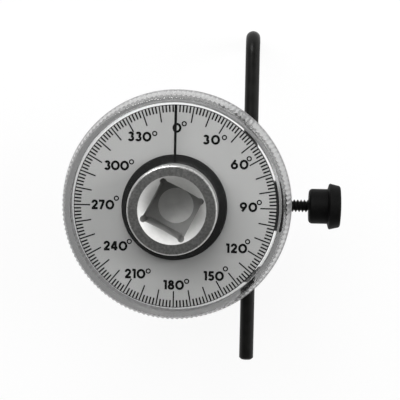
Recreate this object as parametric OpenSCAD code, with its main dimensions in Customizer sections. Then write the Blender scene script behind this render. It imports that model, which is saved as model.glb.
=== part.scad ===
// Torque angle gauge with a square drive: a drive spindle turns inside a graduated dial that a
// clamped rod holds still, and a clear fluted lens carries the pointer line.
// The origin lies on the drive axis at the front face of the collar, with +Z out of the socket.
// +Y points at the zero of the dial, and +X along the clamp screw.

/* [Drive] */
// Nominal size of the square drive
drive_size = 12.7; // [9.5:0.1:16]
// Oversize of the socket square over the drive size
socket_play = 0.15; // [0.05:0.01:0.4]
// Depth of the square socket from the collar face
socket_depth = 16.5; // [12:0.5:19]
// Radius of the relief in each corner of the socket
relief_r = 0.95; // [0.6:0.05:1.4]
// Diameter of the pilot hole under the square
pilot_d = 10.3; // [6:0.1:11]
// Depth of the pilot hole below the floor of the square
pilot_depth = 1.5; // [0.5:0.1:3]
// Width of the flat face between the socket's lead-in and the collar's edge
collar_wall = 3.1; // [2.5:0.1:6]
// Height of the collar face above the dial
collar_rise = 13.3; // [10:0.1:18]
// Radial step from the collar down to the journal
shoulder_step = 1.7; // [1:0.1:2.2]
// Length of the male square
male_len = 15.5; // [12:0.5:20]
// Turn of the drive squares against the dial, clockwise from the front
drive_turn = 27; // [0:1:44]

/* [Ball detent] */
// Diameter of the detent ball
ball_d = 4.8; // [3:0.1:5.5]
// How far the ball stands out of the male square
ball_rise = 0.9; // [0.5:0.05:1.1]
// Height of the ball above the free end of the male square
ball_height = 7.5; // [5:0.5:9]
// Depth of the ball's hole, from the flat of the square
ball_hole_depth = 9.5; // [8:0.5:11]
// Wire diameter of the detent spring
ball_spring_wire = 0.5; // [0.3:0.05:0.7]

/* [Dial] */
// Radius of the dial plate
dial_r = 29.25; // [27:0.25:34]
// Thickness of the dial plate
dial_t = 1; // [0.6:0.1:2]
// How far the edge of the back plate stays inside the dial's edge
plate_inset = 0.1; // [0:0.05:0.5]
// Thickness of the back plate's disc
disc_t = 2.6; // [2:0.1:4]
// Depth of the back plate's rim below its disc
rim_depth = 2.8; // [1:0.1:4]
// Radial thickness of the back plate's rim
rim_w = 1.5; // [1:0.1:3]
// Number of ribs under the back plate
ribs = 8; // [3:1:12]
// Thickness of a rib
rib_t = 1.6; // [1:0.1:2.5]

/* [Lens] */
// Clear height from the dial to the lens window
window_gap = 3.2; // [2.8:0.1:5]
// Thickness of the lens window
window_t = 1.6; // [1:0.1:2.5]
// Radial gap between the dial and the lens wall
wall_gap = 0.55; // [0.3:0.05:1]
// Thickness of the lens wall at its front, over the crests of the flutes
front_wall_t = 2.4; // [2:0.05:3.5]
// Thickness of the lens wall at its back, over the crests of the flutes
back_wall_t = 3.7; // [2.5:0.05:5]
// Width of the bevel around the front of the lens
bevel_w = 1; // [0.3:0.1:1.4]
// Height of the bevel around the front of the lens
bevel_h = 1.8; // [0.5:0.1:3]
// Depth of the lens wall below the dial face
wall_depth = 7.5; // [5.5:0.1:8]
// Number of grip flutes around the lens
flutes = 144; // [72:1:180]
// Depth of a flute at the back of the wall
flute_depth = 0.4; // [0.2:0.05:0.8]
// Height of the plain lip behind the flutes
lip_h = 0.8; // [0.5:0.1:2]
// Rise of the lip over the crests of the flutes
lip_rise = 0.15; // [0.05:0.05:0.5]
// Width of the chamfer inside the open end of the lens wall
chamfer_w = 0.8; // [0.4:0.1:1.5]
// Height of the chamfer inside the open end of the lens wall
chamfer_h = 1.1; // [0.4:0.1:2]
// Width of the pointer line
pointer_w = 0.72; // [0.3:0.01:1.2]
// Depth of the pointer line's groove in the underside of the window
pointer_t = 0.2; // [0.1:0.05:0.4]

/* [Friction drive of the lens] */
// Radius of the friction ring
friction_r = 15.1; // [14:0.1:18]
// Thickness of the friction ring
friction_t = 1.6; // [1:0.1:1.8]
// Thickness of the disc spring under the friction ring
disc_spring_t = 0.35; // [0.2:0.05:0.5]
// Wire diameter of the clip that carries the disc spring
clip_wire = 0.8; // [0.5:0.05:1]

/* [Bearing] */
// Wall of the journal bush
bush_wall = 1.4; // [1:0.1:2]
// Thickness of the front thrust washer
front_washer_t = 0.7; // [0.4:0.1:0.8]
// Thickness of the rear thrust washer
rear_washer_t = 0.8; // [0.5:0.1:1.5]
// Thickness of the wave washer's strip
wave_t = 0.3; // [0.2:0.05:0.5]
// Height of the wave washer's waves
wave_h = 0.5; // [0.2:0.05:0.8]
// Number of waves
waves = 4; // [3:1:6]
// Thickness of the retaining ring
retainer_t = 1.2; // [0.8:0.1:1.6]
// Depth of the retaining ring's groove in the journal
retainer_groove = 0.7; // [0.4:0.1:1]
// Radial width of the retaining ring
retainer_w = 2.1; // [1.8:0.1:3]
// Length of the journal behind the retaining ring
journal_tail = 1.5; // [1:0.1:3]

/* [Clamp arm] */
// Width of the arm
arm_w = 14.3; // [11:0.1:18]
// Thickness of the arm
arm_t = 7.6; // [6.5:0.1:10]
// Distance from the drive axis to the end of the arm
arm_reach = 32; // [30:0.5:40]
// Height of the back plate's hub below the dial face
hub_depth = 8.6; // [8.2:0.1:11]
// Wall of the hub around the bush
hub_wall = 6.4; // [6.2:0.1:7]
// Radius of the fillets between the arm and its ring
arm_fillet = 2; // [1:0.25:3]
// Chamfer on the corners of the arm's end
arm_chamfer = 1.2; // [0.5:0.1:2.5]
// Number of screws that hold the arm to the back plate
arm_screw_count = 3; // [3:2:5]
// Thread diameter of the arm screws
arm_screw_d = 3; // [2.5:0.5:3]
// Head diameter of the arm screws
arm_screw_head_d = 5; // [4.6:0.1:5.2]
// Reach of the arm screws into the hub
arm_screw_grip = 5.2; // [3:0.1:6]

/* [Locating rod] */
// Diameter of the rod
rod_d = 4.2; // [3:0.1:5]
// Distance from the drive axis to the rod's axis
rod_x = 21.25; // [21.25:0.25:24]
// Reach of the rod on the zero side of the dial, to the outside of its bend
rod_reach = 51.4; // [40:0.2:90]
// Reach of the rod's plain end on the other side
rod_tail = 46.3; // [40:0.1:90]
// Length of the bent leg, from the rod's axis to the tip
rod_leg = 32; // [12:0.5:50]
// Radius of the bend at the rod's axis
rod_bend = 4.5; // [4:0.25:8]
// Chamfer on the rod's ends
rod_chamfer = 0.5; // [0.2:0.1:0.9]

/* [Clamp screw] */
// Thread diameter of the clamp screw
stud_d = 3.7; // [3:0.1:5]
// Distance from the drive axis to the front of the knob
knob_x = 38.7; // [37:0.1:46]
// Diameter of the knob's collar
knob_collar_d = 10.3; // [8:0.1:12]
// Length of the knob's collar
knob_collar_len = 5.5; // [3:0.1:8]
// Diameter of the knob's head
knob_head_d = 13.6; // [12.5:0.1:20]
// Length of the knob's head
knob_head_len = 4.1; // [3.5:0.1:8]
// Length of the clamp pad
pad_len = 2.6; // [2:0.1:4]
// Depth of the pad's socket for the tip of the screw
pad_socket = 1.4; // [0.6:0.1:1.6]
// Diameter of the tip of the screw
stud_tip_d = 1.8; // [1.2:0.1:2.2]

/* [Fits] */
// Radial clearance of turning and sliding fits
run_fit = 0.05; // [0.02:0.01:0.1]
// Clearance between pieces that are fixed to each other
seat_fit = 0.02; // [0.01:0.01:0.05]
// Axial play between pieces that turn against each other
end_play = 0.05; // [0.02:0.01:0.1]

/* [Hidden] */
$fn = 96;
// How far one shape runs into the next, and how far a cut runs past the faces that it opens
eps = 0.01;
over = 1;

// Radii from the drive axis outwards
square_w = drive_size + socket_play;
relief_inset = 0.8 * relief_r;
relief_at = square_w * cos(45) - relief_inset;
socket_r = relief_at + relief_r + 0.3;
collar_edge = 0.7;
collar_r = socket_r + collar_wall;
journal_r = collar_r - shoulder_step;
bush_r = journal_r + run_fit + bush_wall;
hub_r = bush_r + hub_wall;
plate_r = dial_r - plate_inset;
wall_r = dial_r + wall_gap;
grip_front_r = wall_r + front_wall_t;
grip_back_r = wall_r + back_wall_t;
lip_r = grip_back_r + lip_rise;
screw_ring_r = bush_r + hub_wall - arm_screw_head_d / 2 - 0.2;

// Levels from the collar face downwards
dial_z = -collar_rise;
window_z = dial_z + window_gap;
window_top_z = window_z + window_t;
shoulder_z = window_top_z + end_play;
wall_end_z = dial_z - wall_depth;
friction_z = window_z - end_play;
clip_z = dial_z + clip_wire / 2 - 0.05;
washer_z = clip_z - clip_wire / 2 - end_play;
bush_top_z = washer_z - front_washer_t - end_play;
disc_z = dial_z - dial_t;
hub_z = dial_z - hub_depth;
arm_z = hub_z - arm_t;
rod_z = hub_z - arm_t / 2;
rear_z = arm_z - end_play;
wave_z = rear_z - rear_washer_t - seat_fit;
retainer_z = wave_z - wave_t - wave_h - seat_fit;
journal_z = retainer_z - retainer_t - journal_tail;
tip_z = journal_z - male_len;
ball_z = tip_z + ball_height;
ball_at = drive_size / 2 + ball_rise - ball_d / 2;

// The points of an arc about [x, y] from one angle to another
function arc(x, y, r, from, to, steps = 6) =
    [for (i = [0:steps]) [x + r * cos(from + (to - from) * i / steps),
                          y + r * sin(from + (to - from) * i / steps)]];

// A ring about the drive axis with its top at z
module ring(inner, outer, z, t) {
    translate([0, 0, z - t])
        difference() {
            cylinder(r = outer, h = t);
            translate([0, 0, -over]) cylinder(r = inner, h = t + 2 * over);
        }
}

// A bar about the drive axis whose square section is turned with the drive
module square_bar(w, z, h) {
    rotate([0, 0, -drive_turn])
        translate([-w / 2, -w / 2, z]) cube([w, w, h]);
}

// Places its children at a flat of the male square, with the flat's normal along +X
module at_detent() {
    translate([0, 0, ball_z])
        rotate([0, 0, -90 - drive_turn]) children();
}

// Places its children around the hub, starting opposite the arm
module at_arm_screws() {
    for (i = [0:arm_screw_count - 1])
        rotate([0, 0, 180 + 360 * i / arm_screw_count])
            translate([screw_ring_r, 0, 0]) children();
}

// Places its children on the axis of the clamp screw, with +Z pointing out along the arm
module on_screw_axis() {
    translate([0, 0, rod_z]) rotate([0, 90, 0]) children();
}

// ---- drive spindle and its detent ----

module spindle_profile() {
    chamfer = 0.4;
    groove_end = retainer_z - retainer_t - seat_fit;
    groove_top = retainer_z + seat_fit;
    polygon(concat(
        [[0, 0]],
        arc(collar_r - collar_edge, -collar_edge, collar_edge, 90, 0),
        [[collar_r, shoulder_z + chamfer], [collar_r - chamfer, shoulder_z],
         [journal_r, shoulder_z],
         [journal_r, groove_top], [journal_r - retainer_groove, groove_top],
         [journal_r - retainer_groove, groove_end], [journal_r, groove_end],
         [journal_r, journal_z + chamfer], [journal_r - chamfer, journal_z],
         [0, journal_z]]));
}

// The male square, with turned corners and a lead-in at its free end
module male_square() {
    corner_r = drive_size * 0.65;
    lead = 1;
    difference() {
        intersection() {
            square_bar(drive_size, tip_z, male_len + over);
            union() {
                translate([0, 0, tip_z + lead]) cylinder(r = corner_r, h = male_len);
                translate([0, 0, tip_z]) cylinder(r1 = corner_r - 1.2 * lead, r2 = corner_r, h = lead);
            }
        }
        at_detent() ball_hole();
    }
}

// The ball's hole, closed in at its mouth by the staked edge that keeps the ball
module ball_hole() {
    stake = 0.5;
    hole_r = ball_d / 2 + run_fit;
    mouth_r = sqrt(pow(ball_d / 2, 2) - pow(ball_d / 2 - ball_rise, 2)) + 0.15;
    translate([drive_size / 2, 0, 0]) rotate([0, -90, 0]) {
        translate([0, 0, -eps]) cylinder(r1 = mouth_r, r2 = hole_r, h = stake + eps);
        translate([0, 0, stake]) cylinder(r = hole_r, h = ball_hole_depth - stake);
    }
}

module socket_cut() {
    lead_depth = socket_r - square_w / 2;
    drill_point = pilot_d / 6;
    square_bar(square_w, -socket_depth, socket_depth + over);
    for (i = [0:3])
        rotate([0, 0, 45 + 90 * i - drive_turn])
            translate([relief_at, 0, -socket_depth])
                cylinder(r = relief_r, h = socket_depth + over, $fn = 32);
    translate([0, 0, -lead_depth])
        cylinder(r1 = socket_r - lead_depth, r2 = socket_r + eps, h = lead_depth + eps);
    translate([0, 0, -socket_depth - pilot_depth]) cylinder(d = pilot_d, h = pilot_depth + over);
    translate([0, 0, -socket_depth - pilot_depth - drill_point])
        cylinder(d1 = pilot_d / 25, d2 = pilot_d, h = drill_point + eps);
}

module drive_spindle() {
    color("silver")
        difference() {
            union() {
                rotate_extrude() spindle_profile();
                male_square();
            }
            socket_cut();
            rotate_extrude() translate([journal_r, clip_z]) circle(d = clip_wire + 2 * seat_fit, $fn = 24);
        }
}

module detent_ball() {
    color("gainsboro")
        at_detent() translate([ball_at, 0, 0]) sphere(d = ball_d);
}

// The spring sits between the end of the ball's hole and the ball
module detent_spring() {
    coils = 5;
    sides = 6;
    steps = 12;
    rings = coils * steps;
    wire_r = ball_spring_wire / 2;
    coil_r = ball_d / 2 - wire_r - 0.15;
    start = drive_size / 2 - ball_hole_depth + wire_r + 0.05;
    end = ball_at - sqrt(pow(ball_d / 2 + wire_r, 2) - pow(coil_r, 2)) - 0.1;
    points = [for (i = [0:rings]) for (j = [0:sides - 1])
        let (turn = 360 * i / steps, r = coil_r + wire_r * cos(360 * j / sides))
        [start + (end - start) * i / rings + wire_r * sin(360 * j / sides),
         r * cos(turn), r * sin(turn)]];
    walls = [for (i = [0:rings - 1]) for (j = [0:sides - 1])
        [i * sides + j, i * sides + (j + 1) % sides,
         (i + 1) * sides + (j + 1) % sides, (i + 1) * sides + j]];
    color("dimgray")
        at_detent()
            polyhedron(points, concat(walls,
                [[for (j = [sides - 1:-1:0]) j], [for (j = [0:sides - 1]) rings * sides + j]]));
}

// ---- clear lens, its pointer line and its friction drive ----

// The hollow of the lens with the hole for the collar
module lens_hollow() {
    corner = 0.12;
    hole_r = journal_r + run_fit;
    below = over * chamfer_h / chamfer_w;
    rotate_extrude()
        polygon(concat(
            [[0, window_top_z + over], [hole_r, window_top_z + over], [hole_r, window_z]],
            arc(wall_r - corner, window_z - corner, corner, 90, 0, 4),
            [[wall_r, wall_end_z + chamfer_h], [wall_r + chamfer_w + over, wall_end_z - below],
             [0, wall_end_z - below]]));
}

// The fluted body of the lens, which narrows towards its bevelled front
module fluted_body() {
    start_z = wall_end_z + lip_h / 2;
    outside = lip_r + over;
    outside_z = window_top_z - (outside - grip_front_r + bevel_w) * bevel_h / bevel_w;
    intersection() {
        translate([0, 0, start_z])
            linear_extrude(height = window_top_z - start_z, scale = grip_front_r / grip_back_r)
                polygon([for (i = [0:2 * flutes - 1])
                    let (a = 180 * i / flutes, r = grip_back_r - (i % 2) * flute_depth)
                    [r * sin(a), r * cos(a)]]);
        rotate_extrude()
            polygon([[0, wall_end_z], [outside, wall_end_z], [outside, outside_z],
                     [grip_front_r - bevel_w, window_top_z], [0, window_top_z]]);
    }
}

// The plain lip at the back of the lens
module lens_lip() {
    edge = 0.1;
    rotate_extrude()
        polygon([[0, wall_end_z], [lip_r - edge, wall_end_z], [lip_r, wall_end_z + edge],
                 [lip_r, wall_end_z + lip_h - edge], [lip_r - edge, wall_end_z + lip_h],
                 [0, wall_end_z + lip_h]]);
}

module pointer_bar(grow) {
    start = journal_r + run_fit + 0.3;
    below = grow > 0 ? over : 0;
    translate([-pointer_w / 2 - grow, start - grow, window_z - below])
        cube([pointer_w + 2 * grow, dial_r - start + 2 * grow, pointer_t + grow + below]);
}

module clear_lens() {
    color([0.86, 0.88, 0.9, 0.35])
        difference() {
            union() {
                fluted_body();
                lens_lip();
            }
            lens_hollow();
            pointer_bar(seat_fit);
        }
}

module pointer_line() {
    color("black") pointer_bar(0);
}

module friction_ring() {
    edge = 0.3;
    inner = journal_r + seat_fit;
    color([0.07, 0.07, 0.07])
        rotate_extrude()
            polygon([[inner, friction_z], [friction_r - edge, friction_z],
                     [friction_r, friction_z - edge], [friction_r, friction_z - friction_t],
                     [inner, friction_z - friction_t]]);
}

// A disc spring that rests on the clip at its inner edge and lifts the friction ring
module friction_spring() {
    ring_overhang = 1;
    inner = journal_r + 0.3;
    outer = friction_r - ring_overhang;
    low = clip_z + clip_wire / 2 + seat_fit;
    high = friction_z - friction_t - seat_fit;
    color("gray")
        rotate_extrude()
            polygon([[inner, low], [inner, low + disc_spring_t],
                     [outer, high], [outer, high - disc_spring_t]]);
}

module friction_clip() {
    gap = 24;
    color("dimgray")
        rotate([0, 0, gap / 2])
            rotate_extrude(angle = 360 - gap)
                translate([journal_r, clip_z]) circle(d = clip_wire, $fn = 24);
}

// ---- dial, back plate and bearing ----

module dial_plate() {
    color([0.72, 0.73, 0.74])
        ring(bush_r + 0.2, dial_r, dial_z, dial_t);
}

module back_plate() {
    rib_step = 0.6;
    color([0.1, 0.1, 0.11])
        difference() {
            union() {
                ring(bush_r - over, plate_r, disc_z, disc_t);
                ring(plate_r - rim_w, plate_r, disc_z, disc_t + rim_depth);
                ring(bush_r - over, hub_r, disc_z, disc_z - hub_z);
                for (i = [0:ribs - 1])
                    rotate([0, 0, 360 * (i + 0.5) / ribs])
                        translate([hub_r - over, -rib_t / 2, disc_z - disc_t - rim_depth + rib_step])
                            cube([plate_r - rim_w - hub_r + 1.5 * over, rib_t, rim_depth]);
            }
            translate([0, 0, hub_z - over]) cylinder(r = bush_r + seat_fit, h = hub_depth + 2 * over);
            at_arm_screws()
                translate([0, 0, hub_z - over])
                    cylinder(d = arm_screw_d + 2 * seat_fit, h = over + arm_screw_grip + 0.3);
        }
}

module journal_bush() {
    color([0.72, 0.52, 0.28])
        ring(journal_r + run_fit, bush_r, bush_top_z, bush_top_z - arm_z);
}

module front_washer() {
    color("silver")
        ring(journal_r + 0.1, bush_r, washer_z, front_washer_t);
}

module rear_washer() {
    color("silver")
        ring(journal_r + run_fit, bush_r + 0.6, rear_z, rear_washer_t);
}

// A flat strip bent into waves around the journal
module wave_washer() {
    steps = 72;
    inner = journal_r + 0.15;
    outer = bush_r + 0.2;
    function level(i) = wave_z - wave_t - wave_h / 2 + wave_h / 2 * cos(360 * waves * i / steps);
    points = [for (i = [0:steps - 1]) let (a = 360 * i / steps)
        for (p = [[inner, 0], [outer, 0], [outer, wave_t], [inner, wave_t]])
            [p[0] * cos(a), p[0] * sin(a), level(i) + p[1]]];
    faces = [for (i = [0:steps - 1]) for (j = [0:3])
        [4 * i + j, 4 * i + (j + 1) % 4,
         4 * ((i + 1) % steps) + (j + 1) % 4, 4 * ((i + 1) % steps) + j]];
    color("gray") polyhedron(points, faces);
}

// An external retaining ring with a gap and two plier holes
module retaining_ring() {
    inner = journal_r - retainer_groove + seat_fit;
    outer = inner + retainer_w;
    lug_r = 1.5;
    lug_ring_r = inner + lug_r + 0.9;
    lug_at = 14;
    plier_hole_r = 0.65;
    gap = 3.2;
    color("dimgray")
        difference() {
            union() {
                ring(inner, outer, retainer_z, retainer_t);
                for (side = [-1, 1])
                    rotate([0, 0, 90 + side * lug_at])
                        translate([lug_ring_r, 0, retainer_z - retainer_t])
                            cylinder(r = lug_r, h = retainer_t, $fn = 32);
            }
            translate([-gap / 2, 0, retainer_z - retainer_t - over])
                cube([gap, outer + 2 * lug_r, retainer_t + 2 * over]);
            for (side = [-1, 1])
                rotate([0, 0, 90 + side * lug_at])
                    translate([lug_ring_r, 0, retainer_z - retainer_t - over])
                        cylinder(r = plier_hole_r, h = retainer_t + 2 * over, $fn = 24);
            translate([0, 0, retainer_z - retainer_t - over]) cylinder(r = inner, h = retainer_t + 2 * over);
        }
}

// ---- clamp arm, rod and screw ----

module arm_outline() {
    half = arm_w / 2;
    fillet_x = sqrt(pow(hub_r + arm_fillet, 2) - pow(half + arm_fillet, 2));
    circle(r = hub_r);
    polygon([[0, -half], [arm_reach - arm_chamfer, -half], [arm_reach, -half + arm_chamfer],
             [arm_reach, half - arm_chamfer], [arm_reach - arm_chamfer, half], [0, half]]);
    for (side = [0, 1])
        mirror([0, side, 0])
            difference() {
                polygon([[0, 0], [fillet_x, 0], [fillet_x, half],
                         [fillet_x * hub_r / (hub_r + arm_fillet),
                          (half + arm_fillet) * hub_r / (hub_r + arm_fillet)]]);
                translate([fillet_x, half + arm_fillet]) circle(r = arm_fillet, $fn = 48);
            }
}

module clamp_arm() {
    color([0.09, 0.09, 0.1])
        difference() {
            translate([0, 0, arm_z]) linear_extrude(height = arm_t) arm_outline();
            translate([0, 0, arm_z - over]) cylinder(r = bush_r + seat_fit, h = arm_t + 2 * over);
            translate([rod_x, hub_r + over, rod_z])
                rotate([90, 0, 0]) cylinder(d = rod_d + 2 * run_fit, h = 2 * hub_r + 2 * over);
            translate([rod_x, 0, 0]) on_screw_axis()
                cylinder(d = stud_d + 2 * run_fit, h = arm_reach - rod_x + over);
            at_arm_screws() {
                translate([0, 0, arm_z - over]) cylinder(d = arm_screw_d + 0.3, h = arm_t + 2 * over);
                translate([0, 0, arm_z - eps])
                    cylinder(d1 = arm_screw_head_d + 0.2, d2 = arm_screw_d + 0.2,
                             h = (arm_screw_head_d - arm_screw_d) / 2 + 0.2);
            }
        }
}

module arm_screw() {
    head_h = (arm_screw_head_d - arm_screw_d) / 2;
    cross_w = 0.7;
    cross_len = 2.8;
    cross_depth = 0.9;
    difference() {
        union() {
            cylinder(d1 = arm_screw_head_d, d2 = arm_screw_d, h = head_h, $fn = 48);
            translate([0, 0, head_h - eps])
                cylinder(d = arm_screw_d, h = arm_t + arm_screw_grip - head_h, $fn = 48);
        }
        for (a = [0, 90])
            rotate([0, 0, a])
                translate([-cross_len / 2, -cross_w / 2, -over])
                    cube([cross_len, cross_w, cross_depth + over]);
    }
}

module arm_screws() {
    color("dimgray")
        at_arm_screws() translate([0, 0, arm_z + 0.1]) arm_screw();
}

module rod_end(len) {
    cylinder(d = rod_d, h = len - rod_chamfer);
    translate([0, 0, len - rod_chamfer])
        cylinder(d1 = rod_d, d2 = rod_d - 2 * rod_chamfer, h = rod_chamfer);
}

module locating_rod() {
    bend_y = rod_reach - rod_d / 2 - rod_bend;
    color([0.08, 0.08, 0.08])
        translate([rod_x, 0, rod_z]) {
            translate([0, bend_y, 0]) rotate([90, 0, 0]) rod_end(rod_tail + bend_y);
            translate([0, bend_y, -rod_bend])
                rotate([0, -90, 0])
                    rotate_extrude(angle = 90) translate([rod_bend, 0]) circle(d = rod_d, $fn = 48);
            translate([0, bend_y + rod_bend, -rod_bend])
                rotate([180, 0, 0]) rod_end(rod_leg - rod_bend);
        }
}

// The pad presses on the rod and turns freely on the tip of the screw
module clamp_pad() {
    start = rod_x + rod_d / 2 + end_play;
    color([0.75, 0.6, 0.3])
        on_screw_axis()
            difference() {
                translate([0, 0, start]) cylinder(d = stud_d, h = pad_len, $fn = 48);
                translate([0, 0, start + pad_len - pad_socket])
                    cylinder(d = stud_tip_d + 2 * run_fit, h = pad_socket + over, $fn = 48);
            }
}

module clamp_screw() {
    pad_end = rod_x + rod_d / 2 + end_play + pad_len;
    tip_len = pad_socket - end_play;
    inside_knob = knob_collar_len + knob_head_len / 2;
    color([0.1, 0.1, 0.1])
        on_screw_axis() {
            translate([0, 0, pad_end - tip_len]) cylinder(d = stud_tip_d, h = tip_len + over, $fn = 48);
            translate([0, 0, pad_end + end_play])
                cylinder(d = stud_d, h = knob_x + inside_knob - pad_end - end_play, $fn = 48);
        }
}

// Collar with a rounded front, then a flared head that narrows towards its domed end
module knob_profile() {
    collar = knob_collar_d / 2;
    head = knob_head_d / 2;
    head_x = knob_x + knob_collar_len;
    end_x = head_x + knob_head_len;
    front_round = 1.1;
    flare = 0.4;
    rim = 0.3;
    taper = 0.55;
    end_round = 0.8;
    dome = 0.3;
    face_r = head - taper - end_round;
    polygon(concat(
        [[0, knob_x]],
        arc(collar - front_round, knob_x + front_round, front_round, -90, 0),
        [[collar, head_x], [head - rim, head_x + flare], [head, head_x + flare + rim]],
        arc(face_r, end_x - dome - end_round, end_round, 0, 90),
        [for (i = [3:-1:0]) [face_r * i / 4, end_x - dome * pow(i / 4, 2)]]));
}

module clamp_knob() {
    color([0.09, 0.09, 0.09])
        on_screw_axis()
            difference() {
                rotate_extrude() knob_profile();
                translate([0, 0, knob_x - over])
                    cylinder(d = stud_d + 2 * seat_fit,
                             h = over + knob_collar_len + knob_head_len / 2 + seat_fit, $fn = 48);
            }
}

drive_spindle();
detent_ball();
detent_spring();
clear_lens();
pointer_line();
friction_ring();
friction_spring();
friction_clip();
front_washer();
dial_plate();
back_plate();
clamp_arm();
journal_bush();
rear_washer();
wave_washer();
retaining_ring();
arm_screws();
locating_rod();
clamp_pad();
clamp_screw();
clamp_knob();
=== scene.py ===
"""A torque angle gauge with a half inch square drive: its looks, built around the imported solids.

Lengths are written in millimetres and turned into metres where a vertex, lamp or camera is made.
+Z points out of the drive socket, +Y to the dial's zero and +X along the clamp screw to its knob.
"""

import math

import bpy
from mathutils import Matrix, Vector
from mathutils.geometry import delaunay_2d_cdt


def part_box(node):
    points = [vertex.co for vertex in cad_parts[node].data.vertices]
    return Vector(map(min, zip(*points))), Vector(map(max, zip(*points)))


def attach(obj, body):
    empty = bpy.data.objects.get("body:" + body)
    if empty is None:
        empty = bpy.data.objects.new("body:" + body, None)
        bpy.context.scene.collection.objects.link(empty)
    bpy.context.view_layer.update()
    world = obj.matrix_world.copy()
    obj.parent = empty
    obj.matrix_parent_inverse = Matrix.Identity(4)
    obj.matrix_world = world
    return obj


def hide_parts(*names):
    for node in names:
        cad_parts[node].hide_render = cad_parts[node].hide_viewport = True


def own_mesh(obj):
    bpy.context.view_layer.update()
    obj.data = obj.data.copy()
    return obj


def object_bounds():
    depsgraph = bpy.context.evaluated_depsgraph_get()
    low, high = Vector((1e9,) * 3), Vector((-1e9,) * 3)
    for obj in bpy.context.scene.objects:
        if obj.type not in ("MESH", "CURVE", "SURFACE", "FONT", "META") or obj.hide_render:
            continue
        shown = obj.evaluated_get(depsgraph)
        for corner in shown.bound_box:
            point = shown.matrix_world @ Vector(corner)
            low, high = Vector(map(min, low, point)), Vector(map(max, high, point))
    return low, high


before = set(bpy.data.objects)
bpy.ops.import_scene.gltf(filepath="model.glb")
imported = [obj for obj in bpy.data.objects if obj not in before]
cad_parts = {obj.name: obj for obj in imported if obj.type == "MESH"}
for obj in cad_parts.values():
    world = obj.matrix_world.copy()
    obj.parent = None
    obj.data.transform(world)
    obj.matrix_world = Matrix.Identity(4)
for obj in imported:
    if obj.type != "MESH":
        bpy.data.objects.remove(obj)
cad_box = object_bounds()

MM = 0.001


def box_mm(solid):
    """The lowest and highest corner of a solid, in millimetres."""
    low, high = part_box(solid)
    return Vector(low) / MM, Vector(high) / MM


dial_r, _, dial_z = box_mm("dial_plate")[1]

# The lens. On the solid its wall is 0.1 mm thicker inside, and its flutes are as deep at the back
flutes = 144
flute_depth = 0.4
back_flute_depth = 0.2
front_wall_t = 2.3
back_wall_t = 3.6
bevel_w = 1.0
bevel_h = 1.8
window_t = 1.6
lip_rise = 0.15
lip_h = 0.8
chamfer_w = 0.8
chamfer_h = 1.1
hole_r = 11.026
wall_r = 29.9
grip_front_r = wall_r + front_wall_t
grip_back_r = wall_r + back_wall_t
lip_r = grip_back_r + lip_rise

# The printed scale
ink_t = 0.02
tick_step = 2
long_tick_step = 10
tick_outer_r = dial_r - 0.08
short_tick_r = 27.1
long_tick_r = 24.45
short_tick_w = 0.44
long_tick_w = 0.38
digit_h = 2.7
digit_stroke = 0.25 * digit_h
degree_d = 1.53
degree_stroke = 0.36

# The clamp screw and its thread, with the shares of half a turn that its crest and flank take
stud_r = 1.85
stud_chamfer = 0.3
tip_r = 0.9
tip_len = 1.35
tip_chamfer = 0.2
tip_fillet = 0.05
thread_pitch = 1.0
thread_depth = 0.55
thread_start_depth = 0.5
thread_run_in = 0.5
thread_stop = 0.4
crest_share = 0.1
flank_share = 0.75

# The detent spring and the ball's travel, as in the solids and joints
coils = 5
wire_r = 0.25
coil_r = 2.0
coil_start = -2.85
coil_play = 0.1

# Where the finishes of the drive spindle and the dial change
socket_r = 9.576
socket_depth = 16.5
collar_r = 12.676
collar_edge = 0.7
behind_socket_z = -22
dial_edge_w = 0.22


# ---------------------------------------------------------------- meshes


def add_mesh(name, verts, faces, sharp_above=35):
    """Links a mesh with vertices in millimetres, smooth but for edges sharper than the angle."""
    mesh = bpy.data.meshes.new(name)
    mesh.from_pydata([(x * MM, y * MM, z * MM) for x, y, z in verts], [], faces)
    mesh.update()
    mesh.shade_smooth()
    mesh.set_sharp_from_angle(angle=math.radians(sharp_above))
    piece = bpy.data.objects.new(name, mesh)
    bpy.context.scene.collection.objects.link(piece)
    return piece


def prism(outline, flat_faces, z0, z1):
    """Vertices and faces of a flat shape, counter-clockwise, made solid between two heights."""
    count = len(outline)
    verts = [(x, y, z) for z in (z1, z0) for x, y in outline]
    faces = [tuple(face) for face in flat_faces]
    faces += [tuple(i + count for i in reversed(face)) for face in flat_faces]
    edges = dict.fromkeys(edge for face in flat_faces for edge in zip(face, face[1:] + face[:1]))
    faces += [(b, a, a + count, b + count) for a, b in edges if (b, a) not in edges]
    return verts, faces


def gather(parts):
    """Joins lists of vertices and faces into one."""
    verts, faces = [], []
    for part_verts, part_faces in parts:
        start = len(verts)
        verts += part_verts
        faces += [tuple(i + start for i in face) for face in part_faces]
    return verts, faces


def arc(x, y, rx, ry, start, end, steps):
    """Points on an ellipse from one angle to another, in degrees."""
    angles = [math.radians(start + (end - start) * i / steps) for i in range(steps + 1)]
    return [(x + rx * math.cos(a), y + ry * math.sin(a)) for a in angles]


def neighbours(count):
    """Each place around a ring with the next one."""
    return [(i, (i + 1) % count) for i in range(count)]


# ---------------------------------------------------------------- the lens


def flute(turn):
    """How far a flute is cut, as a smooth wave from 0 on its crest to 1 in its root."""
    slope = 1 - abs(2 * (turn % 1) - 1)
    return 0.5 - 0.5 * math.cos(math.pi * slope)


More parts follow.
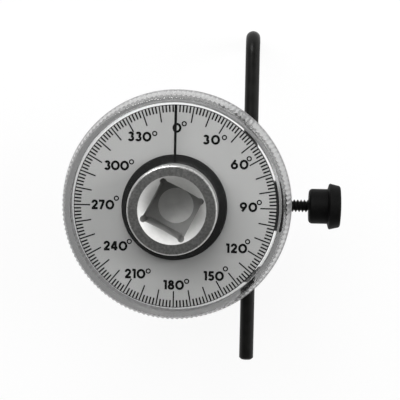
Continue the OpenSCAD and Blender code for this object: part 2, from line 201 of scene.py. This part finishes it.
def make_lens(clear, fluted, end_face_painted_shade):
    """The lens: a flat window, a bevel, a fluted side that widens backwards, and a plain lip."""
    corner = 0.06
    corner_steps = 4
    edge_steps = 3
    lip_edge = 0.1
    bevel_edge = 0.25
    support_r = hole_r + 12
    columns_per_flute = 8
    bevel_steps = 4
    grip_steps = 10
    uncut = 1000  # the crest radius of a row that no flute reaches
    end_z, top_z = (limit.z for limit in box_mm("clear_lens"))
    window_z = top_z - window_t
    lip_z = end_z + lip_h
    grip_h = top_z - bevel_h - lip_z
    bevel_angle = math.degrees(math.atan2(bevel_h, bevel_w))
    bevel_start_r = grip_front_r - bevel_w - bevel_edge * math.tan(math.radians(bevel_angle / 2))

    def smooth(*points):
        """Rows that no flute cuts."""
        return [(r, z, uncut) for r, z in points]

    def bend(r, z, radius, start, end, steps):
        """Rows around a rounded edge, which no flute cuts."""
        return smooth(*arc(r, z, radius, radius, start, end, steps))

    # Radius and height of each row, and the radius of the flutes' crests where they cut it.
    # A row close to each bend keeps the flat or straight stretch beside it true.
    rows = smooth((hole_r, window_z), (support_r, window_z), (wall_r - 2 * corner, window_z))
    rows += bend(wall_r - corner, window_z - corner, corner, 90, 0, corner_steps)
    rows += smooth((wall_r, window_z - 2 * corner), (wall_r, end_z + chamfer_h))
    rows += smooth((wall_r + chamfer_w, end_z), (lip_r - 2 * lip_edge, end_z))
    rows += bend(lip_r - lip_edge, end_z + lip_edge, lip_edge, 270, 360, edge_steps)
    rows += bend(lip_r - lip_edge, lip_z - lip_edge, lip_edge, 0, 80, edge_steps)
    for i in range(grip_steps + 1):
        crest_r = grip_back_r + (grip_front_r - grip_back_r) * i / grip_steps
        rows.append((crest_r, lip_z + grip_h * i / grip_steps, crest_r))
    for i in range(1, bevel_steps + 1):
        cut = flute_depth * i / bevel_steps
        rows.append((grip_front_r - cut, top_z - bevel_h * (1 - cut / bevel_w), grip_front_r))
    rows += bend(bevel_start_r, top_z - bevel_edge, bevel_edge, 90 - bevel_angle, 90, edge_steps)
    rows += smooth((bevel_start_r - corner, top_z), (support_r, top_z), (hole_r, top_z))

    columns = flutes * columns_per_flute
    verts = []
    for r, z, crest_r in rows:
        depth = 0
        if crest_r != uncut:
            behind = (crest_r - grip_front_r) / (grip_back_r - grip_front_r)
            depth = flute_depth + (back_flute_depth - flute_depth) * behind
        for i in range(columns):
            reach = min(r, crest_r - depth * flute(i / columns_per_flute))
            a = 2 * math.pi * i / columns
            verts.append((reach * math.sin(a), reach * math.cos(a), z))
    # the flutes' finish is frosted, with a grey of painted shade
    looks = (clear, fluted, end_face_painted_shade)
    faces = []
    finish = []
    for (j, m), (r, z, crest_r) in zip(neighbours(len(rows)), rows):
        faces += [(j * columns + i, m * columns + i, m * columns + k, j * columns + k)
                  for i, k in neighbours(columns)]
        # the end face takes a finish of painted shade
        if z == end_z and rows[m][1] == end_z:
            look = end_face_painted_shade
        elif r > grip_back_r or (crest_r != uncut and z < top_z - bevel_h):
            look = fluted
        else:
            look = clear
        finish += [looks.index(look)] * columns
    lens = add_mesh("lens", verts, faces, sharp_above=30)
    for look in looks:
        lens.data.materials.append(look)
    lens.data.polygons.foreach_set("material_index", finish)
    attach(lens, "lens")
    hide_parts("clear_lens")
    lens.visible_diffuse = False


# ---------------------------------------------------------------- the printed scale


def make_ticks():
    """One mark every tick_step degrees, clockwise from +Y, printed proud of the dial."""
    parts = []
    for degrees in range(0, 360, tick_step):
        is_long = degrees % long_tick_step == 0
        inner_r = long_tick_r if is_long else short_tick_r
        half_w = (long_tick_w if is_long else short_tick_w) / 2
        a = math.radians(degrees)
        along = Vector((math.sin(a), math.cos(a)))
        across = Vector((math.cos(a), -math.sin(a))) * half_w
        corners = [along * inner_r + across, along * tick_outer_r + across,
                   along * tick_outer_r - across, along * inner_r - across]
        parts.append(prism([tuple(c) for c in corners], [(0, 1, 2, 3)],
                           dial_z - ink_t, dial_z + ink_t))
    ticks = add_mesh("dial_marks", *gather(parts))
    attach(ticks, "housing")
    return ticks


# Each digit: its width and its strokes' centre lines, where 1 is the height of the digits
DIGITS = {
    "0": (0.9, [arc(0.45, 0.5, 0.35, 0.4, 0, 360, 36)]),
    "1": (0.36, [[(0.26, 0), (0.26, 1)], [(0.0, 0.9), (0.26, 0.9)]]),
    "2": (0.66, [arc(0.33, 0.68, 0.22, 0.22, 185, -38, 18) + [(0.14, 0.12)],
                 [(0.02, 0.1), (0.66, 0.1)]]),
    "3": (0.66, [arc(0.33, 0.74, 0.19, 0.16, 165, -90, 16),
                 arc(0.33, 0.30, 0.23, 0.20, 90, -162, 18)]),
    "4": (0.7, [[(0.48, 0), (0.48, 1)], [(0, 0.29), (0.7, 0.29)], [(0.43, 0.97), (0.06, 0.3)]]),
    "5": (0.64, [[(0.6, 0.9), (0.14, 0.9)], [(0.2, 0.98), (0.14, 0.47)],
                 [(0.13, 0.5)] + arc(0.31, 0.32, 0.23, 0.22, 115, -150, 18)]),
    "6": (0.74, [arc(0.37, 0.35, 0.27, 0.25, 0, 360, 28), [(0.16, 0.5), (0.5, 0.97)]]),
    "7": (0.62, [[(0, 0.9), (0.62, 0.9)], [(0.53, 0.86), (0.2, 0)]]),
    "8": (0.68, [arc(0.34, 0.74, 0.18, 0.16, 0, 360, 22),
                 arc(0.34, 0.30, 0.24, 0.20, 0, 360, 26)]),
    "9": (0.74, [arc(0.37, 0.65, 0.27, 0.25, 0, 360, 28), [(0.58, 0.5), (0.24, 0.03)]]),
}

# Each number: the middle of its digits, their width over all, and the middle of its degree ring
NUMBERS = [
    ("0", 0.2, 22.6, 2.43, 2.25, 23.8),
    ("30", 10.1, 19.4, 4.8, 13.8, 20.1),
    ("60", 18.3, 12.5, 4.95, 21.0, 14.2),
    ("90", 21.1, 0.35, 4.9, 24.15, 1.75),
    ("120", 17.9, -11.6, 6.0, 21.05, -9.6),
    ("150", 11.5, -19.75, 5.8, 14.85, -17.6),
    ("180", 0.0, -22.65, 5.9, 3.75, -21.5),
    ("210", -11.2, -19.65, 5.9, -7.4, -18.8),
    ("240", -17.0, -11.7, 6.8, -13.0, -10.35),
    ("270", -20.8, 0.15, 6.5, -16.9, 2.05),
    ("300", -17.0, 11.5, 7.1, -12.7, 12.6),
    ("330", -10.5, 19.9, 6.7, -6.15, 20.85),
]


def ribbon(points, width):
    """Quads, counter-clockwise, that cover a stroke along its centre line, with mitred joints."""
    same_point = 1e-6
    least_cosine = 0.5
    points = [Vector(p) for p in points]
    closed = (points[0] - points[-1]).length < same_point
    sides = []
    for i, p in enumerate(points):
        before = points[i - 1] if i > 0 else (points[-2] if closed else None)
        after = points[i + 1] if i < len(points) - 1 else (points[1] if closed else None)
        into = (p - before).normalized() if before is not None else (after - p).normalized()
        out = (after - p).normalized() if after is not None else into
        mean = (into + out).normalized()
        normal = Vector((-mean.y, mean.x))
        reach = width / 2 / max(least_cosine, mean.dot(into))
        sides.append((p + normal * reach, p - normal * reach))
    return [[right, next_right, next_left, left]
            for (left, right), (next_left, next_right) in zip(sides, sides[1:])]


def number_strokes(text, x, y, width, ring_x, ring_y):
    """Quads that cover the digits and the degree ring of one number, in millimetres on the dial."""
    ring_steps = 28
    widths = [DIGITS[digit][0] * digit_h for digit in text]
    gap = (width - sum(widths)) / (len(text) - 1) if len(text) > 1 else 0
    left = x - (sum(widths) + gap * (len(text) - 1)) / 2
    base = y - digit_h / 2
    quads = []
    for digit, digit_w in zip(text, widths):
        for stroke in DIGITS[digit][1]:
            line = [(left + px * digit_h, base + py * digit_h) for px, py in stroke]
            quads += ribbon(line, digit_stroke)
        left += digit_w + gap
    ring_r = (degree_d - degree_stroke) / 2
    quads += ribbon(arc(ring_x, ring_y, ring_r, ring_r, 0, 360, ring_steps), degree_stroke)
    return quads


def merged_prism(quads, z0, z1):
    """One closed solid over everything that the quads cover."""
    merge_within = 1e-5
    points = [Vector(p) for quad in quads for p in quad]
    loops = [list(range(4 * i, 4 * i + 4)) for i in range(len(quads))]
    verts, _, faces, _, _, owners = delaunay_2d_cdt(points, [], loops, 0, merge_within)
    kept = [tuple(face) for face, owner in zip(faces, owners) if owner]
    used = sorted({i for face in kept for i in face})
    place = {old: new for new, old in enumerate(used)}
    covered = [tuple(place[i] for i in face) for face in kept]
    return prism([tuple(verts[i]) for i in used], covered, z0, z1)


def make_numbers():
    """The numbers with their degree rings, printed proud of the dial."""
    parts = [merged_prism(number_strokes(*row), dial_z - ink_t, dial_z + ink_t) for row in NUMBERS]
    numbers = add_mesh("dial_numbers", *gather(parts))
    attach(numbers, "housing")
    return numbers


# ---------------------------------------------------------------- the clamp screw


def make_stud():
    """The stud with its thread: a radius that follows the helix, closed by a cap at each end."""
    around = 48
    rings_per_turn = 14
    low, high = box_mm("clamp_screw")
    axis_y = (low.y + high.y) / 2
    axis_z = (low.z + high.z) / 2
    start = low.x
    tip_end = start + tip_len
    end = high.x
    # Place and radius of each ring of vertices, and whether the thread cuts it
    stations = [(start, tip_r - tip_chamfer, False), (start + tip_chamfer, tip_r, False),
                (tip_end - tip_fillet, tip_r, False), (tip_end, tip_r + tip_fillet, False),
                (tip_end + tip_fillet, stud_r - thread_start_depth, False)]
    x = tip_end + 2 * tip_fillet
    while x < end - thread_stop:
        run_in = min(1.0, (x - tip_end) / thread_run_in)
        stations.append((x, stud_r - thread_start_depth * (1 - run_in), True))
        x += thread_pitch / rings_per_turn
    stations += [(end - stud_chamfer, stud_r, False), (end, stud_r - stud_chamfer, False)]
    verts = []
    for x, r, threaded in stations:
        for i in range(around):
            a = 2 * math.pi * i / around
            reach = r
            if threaded:
                turn = (x / thread_pitch - i / around) % 1
                flank = min(1.0, max(0.0, (abs(2 * turn - 1) - crest_share) / flank_share))
                reach = min(r, stud_r - thread_depth * flank)
            verts.append((x, axis_y + reach * math.cos(a), axis_z + reach * math.sin(a)))
    last = len(stations) - 1
    faces = [(j * around + i, j * around + k, (j + 1) * around + k, (j + 1) * around + i)
             for j in range(last) for i, k in neighbours(around)]
    faces.append(tuple(reversed(range(around))))
    faces.append(tuple(last * around + i for i in range(around)))
    stud = add_mesh("stud", verts, faces, sharp_above=50)
    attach(stud, "screw")
    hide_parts("clamp_screw")
    return stud


# ---------------------------------------------------------------- the detent spring


def make_detent_spring():
    """The coil behind the ball, as on the solid."""
    steps = 20
    sides = 8
    low, high = box_mm("detent_ball")
    ball = (low + high) / 2
    ball_r = (high.z - low.z) / 2
    away = Vector((ball.x, ball.y, 0))
    along = away.normalized()
    up = Vector((0, 0, 1))
    across = up.cross(along)
    coil_end = away.length - math.sqrt((ball_r + wire_r) ** 2 - coil_r ** 2) - coil_play
    rise = coil_end - coil_start
    rings = coils * steps
    verts = []
    for i in range(rings + 1):
        turn = 2 * math.pi * i / steps
        out = across * math.cos(turn) + up * math.sin(turn)
        for j in range(sides):
            a = 2 * math.pi * j / sides
            x = coil_start + rise * i / rings + wire_r * math.sin(a)
            verts.append(tuple(along * x + out * (coil_r + wire_r * math.cos(a)) + up * ball.z))
    faces = [(i * sides + j, (i + 1) * sides + j, (i + 1) * sides + k, i * sides + k)
             for i in range(rings) for j, k in neighbours(sides)]
    faces.append(tuple(range(sides)))
    faces.append(tuple(rings * sides + j for j in reversed(range(sides))))
    coil = add_mesh("coil", verts, faces, sharp_above=50)
    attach(coil, "spindle")
    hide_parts("detent_spring")
    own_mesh(coil)
    return coil


# ---------------------------------------------------------------- materials


def node(tree, kind, inputs=None, **settings):
    """Adds a shader node, with its settings, plain inputs and links."""
    made = tree.nodes.new(kind)
    for key, value in settings.items():
        setattr(made, key, value)
    for key, value in (inputs or {}).items():
        if isinstance(value, bpy.types.NodeSocket):
            tree.links.new(value, made.inputs[key])
        else:
            made.inputs[key].default_value = value
    return made


def empty_tree(owner):
    """The node tree of a material or world, emptied."""
    owner.use_nodes = True
    owner.node_tree.nodes.clear()
    return owner.node_tree


def calc(tree, first, operation, second):
    """The result of a sum or comparison of two values: a comparison is 1 where it holds, else 0."""
    return node(tree, "ShaderNodeMath", {0: first, 1: second}, operation=operation).outputs[0]


def every(tree, *masks):
    """1 where every mask is 1."""
    whole = masks[0]
    for mask in masks[1:]:
        whole = calc(tree, whole, "MULTIPLY", mask)
    return whole


def spread(tree, value, from_min, from_max, to_min, to_max):
    """A value moved from one range to another and held inside it."""
    return node(tree, "ShaderNodeMapRange", {
        "Value": value, "From Min": from_min, "From Max": from_max,
        "To Min": to_min, "To Max": to_max}).outputs["Result"]


def noise(tree, place, size_mm, **inputs):
    """An uneven pattern with patches of about the given size."""
    return node(tree, "ShaderNodeTexNoise", {
        "Vector": place, "Scale": 1 / (size_mm * MM), **inputs}).outputs["Fac"]


def height_and_radius(tree):
    """Height along the drive axis and distance from it, in metres."""
    place = node(tree, "ShaderNodeTexCoord").outputs["Object"]
    parts = node(tree, "ShaderNodeSeparateXYZ", {0: place}).outputs
    flat = node(tree, "ShaderNodeCombineXYZ", {0: parts[0], 1: parts[1]}).outputs[0]
    length = node(tree, "ShaderNodeVectorMath", {0: flat}, operation="LENGTH")
    return parts[2], length.outputs["Value"]


def surface(name, colour, roughness, metallic=0.0, specular=0.5, mottle=0.08, mottle_mm=3.0,
            rough_swing=0.06, grain_mm=0.15, grain_depth=0.004, turned_mm=0.0, turned_depth=0.002):
    """A finish with uneven colour and gloss, and a bump of fine grain and, if set, turned rings."""
    patch_low, patch_high = 0.3, 0.7
    least_roughness = 0.02
    wave_period = math.pi / 10  # of a wave texture with a scale of 1
    material = bpy.data.materials.new(name)
    tree = empty_tree(material)
    place = node(tree, "ShaderNodeTexCoord").outputs["Object"]
    patches = noise(tree, place, mottle_mm, Detail=4.0)
    tint = spread(tree, patches, patch_low, patch_high, 1 - mottle, 1 + mottle)
    shade = node(tree, "ShaderNodeMix", {"Factor": 1.0, "A": (*colour, 1), "B": tint},
                 data_type="RGBA", blend_type="MULTIPLY")
    gloss = spread(tree, patches, patch_low, patch_high,
                   max(least_roughness, roughness - rough_swing), min(1.0, roughness + rough_swing))
    grain = noise(tree, place, grain_mm, Detail=2.0)
    bump = node(tree, "ShaderNodeBump", {
        "Height": grain, "Distance": grain_depth * MM, "Strength": 1.0})
    if turned_mm:
        rings = node(tree, "ShaderNodeTexWave", {
            "Vector": place, "Scale": wave_period / (turned_mm * MM),
            "Distortion": 0.6, "Detail": 1.0}, wave_type="RINGS", rings_direction="Z")
        bump = node(tree, "ShaderNodeBump", {
            "Height": rings.outputs["Fac"], "Distance": turned_depth * MM,
            "Strength": 1.0, "Normal": bump.outputs["Normal"]})
    shader = node(tree, "ShaderNodeBsdfPrincipled", {
        "Base Color": shade.outputs["Result"], "Roughness": gloss, "Metallic": metallic,
        "Specular IOR Level": specular, "Normal": bump.outputs["Normal"]})
    node(tree, "ShaderNodeOutputMaterial", {"Surface": shader.outputs["BSDF"]})
    return material


def main_shader(material):
    """The shader of a finish that surface() made."""
    return next(made for made in material.node_tree.nodes if made.type == "BSDF_PRINCIPLED")


def multiply_colour(material, mask, factor):
    """Where the mask is 1, multiplies a finish's colour by a colour or a pattern."""
    tree = material.node_tree
    colour = main_shader(material).inputs["Base Color"]
    mixed = node(tree, "ShaderNodeMix", {
        "Factor": mask, "A": colour.links[0].from_socket, "B": factor},
        data_type="RGBA", blend_type="MULTIPLY")
    tree.links.new(mixed.outputs["Result"], colour)


def blend(material, mask, shade, roughness, metallic):
    """Where the mask is 1, multiplies a finish's colour by a grey and sets its other values."""
    tree = material.node_tree
    multiply_colour(material, mask, (shade, shade, shade, 1))
    for name, value in (("Roughness", roughness), ("Metallic", metallic)):
        socket = main_shader(material).inputs[name]
        before = socket.links[0].from_socket if socket.is_linked else socket.default_value
        mixed = node(tree, "ShaderNodeMix", {"Factor": mask, "A": before, "B": value},
                     data_type="FLOAT")
        tree.links.new(mixed.outputs["Result"], socket)


def spindle_chrome():
    """Satin chrome: stained in front, dull on the side and in the socket, and smooth behind.
    Painted shade darkens the face, the side and the socket's walls, and painted light
    brightens the lead-in cone, the socket's floor and its pilot hole.
    """
    # How far each mask keeps clear of the edge that it follows
    cone_gap = 0.06
    rim_gap = 0.05
    wall_gap = 0.1
    face_gap = 0.02
    # The least z of a normal that counts as the socket's floor, and as the collar's face
    floor_facing = 0.7
    face_facing = 0.99
    stain_mm = 0.7
    stain_offset = 0.2
    stain_low, stain_high = 0.38, 0.62
    stain_darkest, stain_lightest = 0.8, 1.25
    material = surface("satin_chrome", (0.60, 0.60, 0.59), 0.28, metallic=1.0, mottle=0.03,
                       mottle_mm=1.2, rough_swing=0.02, grain_mm=0.12, grain_depth=0.0009,
                       turned_mm=0.22, turned_depth=0.0006)
    tree = material.node_tree
    coords = node(tree, "ShaderNodeTexCoord").outputs
    facing = node(tree, "ShaderNodeSeparateXYZ", {0: coords["Normal"]}).outputs[2]
    z, r = height_and_radius(tree)
    over_cone = calc(tree, z, "SUBTRACT", r)
    in_front = calc(tree, z, "GREATER_THAN", behind_socket_z * MM)
    behind = calc(tree, z, "LESS_THAN", behind_socket_z * MM)
    front = every(tree, calc(tree, z, "GREATER_THAN", -face_gap * MM),
                  calc(tree, facing, "GREATER_THAN", face_facing))
    lead_in_painted_light = every(tree, calc(tree, r, "LESS_THAN", (socket_r + rim_gap) * MM),
                    calc(tree, over_cone, "GREATER_THAN", -(socket_r + cone_gap) * MM), in_front)
    socket = every(tree, calc(tree, over_cone, "LESS_THAN", -(socket_r + cone_gap) * MM),
                   calc(tree, r, "LESS_THAN", (socket_r - rim_gap) * MM), in_front)
    floor = every(tree, socket, calc(tree, facing, "GREATER_THAN", floor_facing))
    pilot_painted_light = every(tree, socket, calc(tree, z, "LESS_THAN", -(socket_depth + wall_gap) * MM))
    side = every(tree, calc(tree, r, "GREATER_THAN", (collar_r - wall_gap) * MM),
                 calc(tree, z, "LESS_THAN", -collar_edge * MM), in_front)
    for bump in [made for made in tree.nodes if made.type == "BUMP"]:
        tree.links.new(in_front, bump.inputs["Strength"])
    # The grey that multiplies the colour, the roughness and the metallic share of each part;
    # most of these greys are painted shade or painted light, as each line says
    blend(material, behind, 0.72, 0.36, 1.0)
    # painted shade: the collar's face darker than the chrome
    blend(material, front, 0.68, 0.28, 1.0)
    # painted light: the lead-in cone brighter than the chrome
    blend(material, lead_in_painted_light, 1.4, 0.28, 1.0)
    # the socket's walls rougher and less metallic, and darker with painted shade
    blend(material, socket, 0.6, 0.45, 0.3)
    # painted light: the socket's floor brighter than its walls, and matte
    blend(material, floor, 1.2, 0.5, 0.0)
    # painted light: the pilot hole brighter still
    blend(material, pilot_painted_light, 2.0, 0.5, 0.0)
    # painted shade: the collar's side darker, on a rougher finish
    blend(material, side, 0.45, 0.6, 0.3)
    # The face lies at z = 0, and its stain is read from the noise a little way in front of it
    moved = node(tree, "ShaderNodeVectorMath", {
        0: coords["Object"], 1: (0, 0, stain_offset * MM)}, operation="ADD")
    stain = noise(tree, moved.outputs["Vector"], stain_mm, Detail=3.0, Roughness=0.65)
    stained = spread(tree, stain, stain_low, stain_high, stain_darkest, stain_lightest)
    multiply_colour(material, front, stained)
    return material


def dial_silver():
    """Satin silver, with the dark edge of the plate as a thin line around the scale."""
    material = surface("dial_silver", (0.46, 0.46, 0.455), 0.5, specular=0.3, mottle=0.02,
                       mottle_mm=7.0, rough_swing=0.05, grain_mm=0.12, grain_depth=0.002)
    tree = material.node_tree
    _, r = height_and_radius(tree)
    edge = calc(tree, r, "GREATER_THAN", (dial_r - dial_edge_w) * MM)
    blend(material, edge, 0.03, 0.5, 0.0)
    return material


def clear_plastic(name, colour, roughness, transmission, wave_mm, wave_depth):
    """Clear acrylic, a little uneven from moulding, that lets the lamps light what it covers.
    A grey colour tints it with painted shade.
    """
    material = bpy.data.materials.new(name)
    tree = empty_tree(material)
    place = node(tree, "ShaderNodeTexCoord").outputs["Object"]
    waves = noise(tree, place, wave_mm, Detail=1.0)
    bump = node(tree, "ShaderNodeBump", {
        "Height": waves, "Distance": wave_depth * MM, "Strength": 1.0})
    acrylic = node(tree, "ShaderNodeBsdfPrincipled", {
        "Base Color": (*colour, 1), "Roughness": roughness, "IOR": 1.49,
        "Transmission Weight": transmission, "Normal": bump.outputs["Normal"]})
    clear = node(tree, "ShaderNodeBsdfTransparent")
    path = node(tree, "ShaderNodeLightPath")
    mixed = node(tree, "ShaderNodeMixShader", {
        0: path.outputs["Is Shadow Ray"], 1: acrylic.outputs["BSDF"], 2: clear.outputs["BSDF"]})
    node(tree, "ShaderNodeOutputMaterial", {"Surface": mixed.outputs["Shader"]})
    return material


CHROME = spindle_chrome()
POLISHED = surface("polished_steel", (0.68, 0.68, 0.69), 0.12, metallic=1.0, mottle=0.04,
                   mottle_mm=1.0)
SPRING = surface("spring_steel", (0.36, 0.36, 0.37), 0.32, metallic=1.0, mottle=0.1, mottle_mm=1.2)
GROUND = surface("ground_steel", (0.58, 0.58, 0.59), 0.36, metallic=1.0, mottle=0.07,
                 turned_mm=0.15)
SILVER = dial_silver()
INK = surface("printed_ink", (0.0015, 0.0015, 0.0015), 0.6, specular=0.02, mottle=0.2,
              mottle_mm=0.6, grain_mm=0.08)
PAINT = surface("pointer_paint", (0.002, 0.002, 0.002), 0.4, specular=0.1, mottle=0.2,
                mottle_mm=1.5)
NYLON = surface("black_nylon", (0.005, 0.005, 0.005), 0.55, specular=0.15, mottle=0.15,
                mottle_mm=1.5, grain_mm=0.2)
CASTING = surface("black_casting", (0.014, 0.014, 0.014), 0.6, specular=0.3, mottle=0.2,
                  mottle_mm=2.5, grain_mm=0.35, grain_depth=0.02)
COATED = surface("black_coated_steel", (0.01, 0.01, 0.01), 0.45, specular=0.3, mottle=0.2,
                 mottle_mm=3.0, grain_mm=0.3, grain_depth=0.01)
BRONZE = surface("sintered_bronze", (0.48, 0.31, 0.15), 0.45, metallic=1.0, mottle=0.15,
                 mottle_mm=0.8, grain_mm=0.12, grain_depth=0.01)
PHOSPHATE = surface("phosphated_steel", (0.07, 0.07, 0.07), 0.5, metallic=0.7, mottle=0.2,
                    mottle_mm=1.2)
ZINC = surface("zinc_plate", (0.42, 0.42, 0.44), 0.34, metallic=1.0, mottle=0.1, mottle_mm=1.0)
OXIDE = surface("black_oxide", (0.005, 0.005, 0.0045), 0.4, specular=0.2, mottle=0.3,
                mottle_mm=3.0, rough_swing=0.08, grain_mm=0.4, grain_depth=0.006)
BRASS = surface("turned_brass", (0.60, 0.42, 0.17), 0.3, metallic=1.0, mottle=0.08, mottle_mm=1.0)
THREAD = surface("black_oxide_thread", (0.005, 0.005, 0.005), 0.4, specular=0.2, mottle=0.2,
                 mottle_mm=1.0)
MOULDED = surface("moulded_black", (0.003, 0.003, 0.003), 0.55, specular=0.08, mottle=0.2,
                  mottle_mm=2.0, grain_mm=0.25, grain_depth=0.01)
CLEAR = clear_plastic("clear_acrylic", (0.95, 0.955, 0.955), 0.02, 1.0, wave_mm=6, wave_depth=0.004)
# frosted flutes, whose grey colour is painted shade on clear acrylic
FLUTED_FROST_AND_SHADE = clear_plastic("fluted_acrylic_frost_and_painted_shade", (0.47, 0.47, 0.47), 0.3, 0.5, wave_mm=0.5, wave_depth=0.01)
# painted shade: the lens's end face tinted almost black
END_PAINTED_SHADE = clear_plastic("end_acrylic_painted_shade", (0.07, 0.07, 0.07), 0.12, 0.9, wave_mm=1, wave_depth=0.01)

CAD_FINISHES = {
    "drive_spindle": CHROME,
    "detent_ball": POLISHED,
    "pointer_line": PAINT,
    "friction_ring": NYLON,
    "friction_spring": SPRING,
    "friction_clip": SPRING,
    "front_washer": GROUND,
    "dial_plate": SILVER,
    "back_plate": CASTING,
    "clamp_arm": COATED,
    "journal_bush": BRONZE,
    "rear_washer": GROUND,
    "wave_washer": SPRING,
    "retaining_ring": PHOSPHATE,
    "arm_screws": ZINC,
    "locating_rod": OXIDE,
    "clamp_pad": BRASS,
    "clamp_knob": MOULDED,
}


def dress(piece, material):
    """Gives a piece one finish."""
    piece.data.materials.clear()
    piece.data.materials.append(material)


for solid, finish in CAD_FINISHES.items():
    dress(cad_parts[solid], finish)
make_lens(CLEAR, FLUTED_FROST_AND_SHADE, END_PAINTED_SHADE)
dress(make_ticks(), INK)
dress(make_numbers(), INK)
dress(make_stud(), THREAD)
dress(make_detent_spring(), SPRING)


# ---------------------------------------------------------------- the studio


def make_camera():
    """Looks almost straight at the dial, from a little above and to the right of its axis."""
    pitch, yaw, roll = (math.radians(a) for a in (4.45, -2.87, -1.085))
    aim = Vector((-7.17, -1.88, 0))
    distance = 350
    turn = Matrix.Rotation(pitch, 3, "X") @ Matrix.Rotation(yaw, 3, "Y")
    back = (turn @ Matrix.Rotation(roll, 3, "Z")).transposed()
    data = bpy.data.cameras.new("camera")
    data.lens = 109.62
    data.sensor_width = 36
    data.clip_start = 0.01
    data.clip_end = 20
    camera = bpy.data.objects.new("camera", data)
    place = back @ (Vector((0, 0, distance)) - aim) + Vector((0, 0, dial_z))
    camera.matrix_world = Matrix.Translation(place * MM) @ back.to_4x4()
    bpy.context.scene.collection.objects.link(camera)
    bpy.context.scene.camera = camera


def make_floor():
    """A table that keeps the part's shadow, and that camera and shiny surfaces see as white."""
    clearance = 0.3
    half = 3000
    paper_colour = (0.85, 0.85, 0.85, 1)
    white_strength = 1.03
    white_share = 0.85
    z = cad_box[0][2] / MM - clearance
    corners = [(-half, -half, z), (half, -half, z), (half, half, z), (-half, half, z)]
    floor = add_mesh("floor", corners, [(0, 1, 2, 3)])
    material = bpy.data.materials.new("floor_white")
    tree = empty_tree(material)
    paper = node(tree, "ShaderNodeBsdfDiffuse", {"Color": paper_colour})
    white = node(tree, "ShaderNodeEmission", {"Color": (1, 1, 1, 1), "Strength": white_strength})
    path = node(tree, "ShaderNodeLightPath").outputs
    seen = calc(tree, path["Is Camera Ray"], "MAXIMUM", path["Is Glossy Ray"])
    seen = calc(tree, seen, "MAXIMUM", path["Is Transmission Ray"])
    mixed = node(tree, "ShaderNodeMixShader", {
        0: calc(tree, seen, "MULTIPLY", white_share), 1: paper.outputs[0], 2: white.outputs[0]})
    node(tree, "ShaderNodeOutputMaterial", {"Surface": mixed.outputs[0]})
    floor.data.materials.append(material)


def make_world():
    """A pale studio: bright at the horizon, most of all beyond the dial's zero, dim overhead."""
    stops = ((0.0, 0.95), (0.25, 0.85), (0.5, 0.35), (0.8, 0.14), (1.0, 0.11))
    brightest_way = (0.35, 0.94, 0)
    dimmest, brightest = 0.5, 1.45
    world = bpy.data.worlds.new("studio")
    bpy.context.scene.world = world
    tree = empty_tree(world)
    way = node(tree, "ShaderNodeTexCoord").outputs["Generated"]
    height = node(tree, "ShaderNodeSeparateXYZ", {0: way}).outputs["Z"]
    ramp = node(tree, "ShaderNodeValToRGB", {"Fac": height})
    while len(ramp.color_ramp.elements) < len(stops):
        ramp.color_ramp.elements.new(0.5)
    for element, (at, level) in zip(ramp.color_ramp.elements, stops):
        element.position = at
        element.color = (level, level, level, 1)
    side = node(tree, "ShaderNodeVectorMath", {0: way, 1: brightest_way}, operation="DOT_PRODUCT")
    strength = spread(tree, side.outputs["Value"], -1.0, 1.0, dimmest, brightest)
    light = node(tree, "ShaderNodeBackground", {
        "Color": ramp.outputs["Color"], "Strength": strength})
    node(tree, "ShaderNodeOutputWorld", {"Surface": light.outputs[0]})


def softbox(name, place, size, power, lights, glints):
    """A rectangular lamp that faces the origin. It lights dull surfaces, or is what shiny and clear
    ones mirror and let through."""
    data = bpy.data.lights.new(name, "AREA")
    data.shape = "RECTANGLE"
    data.size, data.size_y = (s * MM for s in size)
    data.energy = power
    lamp = bpy.data.objects.new(name, data)
    lamp.location = Vector(place) * MM
    lamp.rotation_euler = Vector(place).to_track_quat("Z", "Y").to_euler()
    lamp.visible_diffuse = lights
    lamp.visible_glossy = glints
    lamp.visible_transmission = glints
    bpy.context.scene.collection.objects.link(lamp)


make_camera()
make_floor()
make_world()
softbox("key", (-150, 380, 390), (800, 640), 3.7, lights=True, glints=False)
softbox("fill", (460, 120, 260), (200, 420), 1.3, lights=True, glints=False)
softbox("glint", (-130, 290, 470), (240, 240), 1.7, lights=False, glints=True)
softbox("edge_glint", (460, 120, 260), (60, 420), 0.8, lights=False, glints=True)
bpy.context.scene.view_settings.view_transform = "Standard"
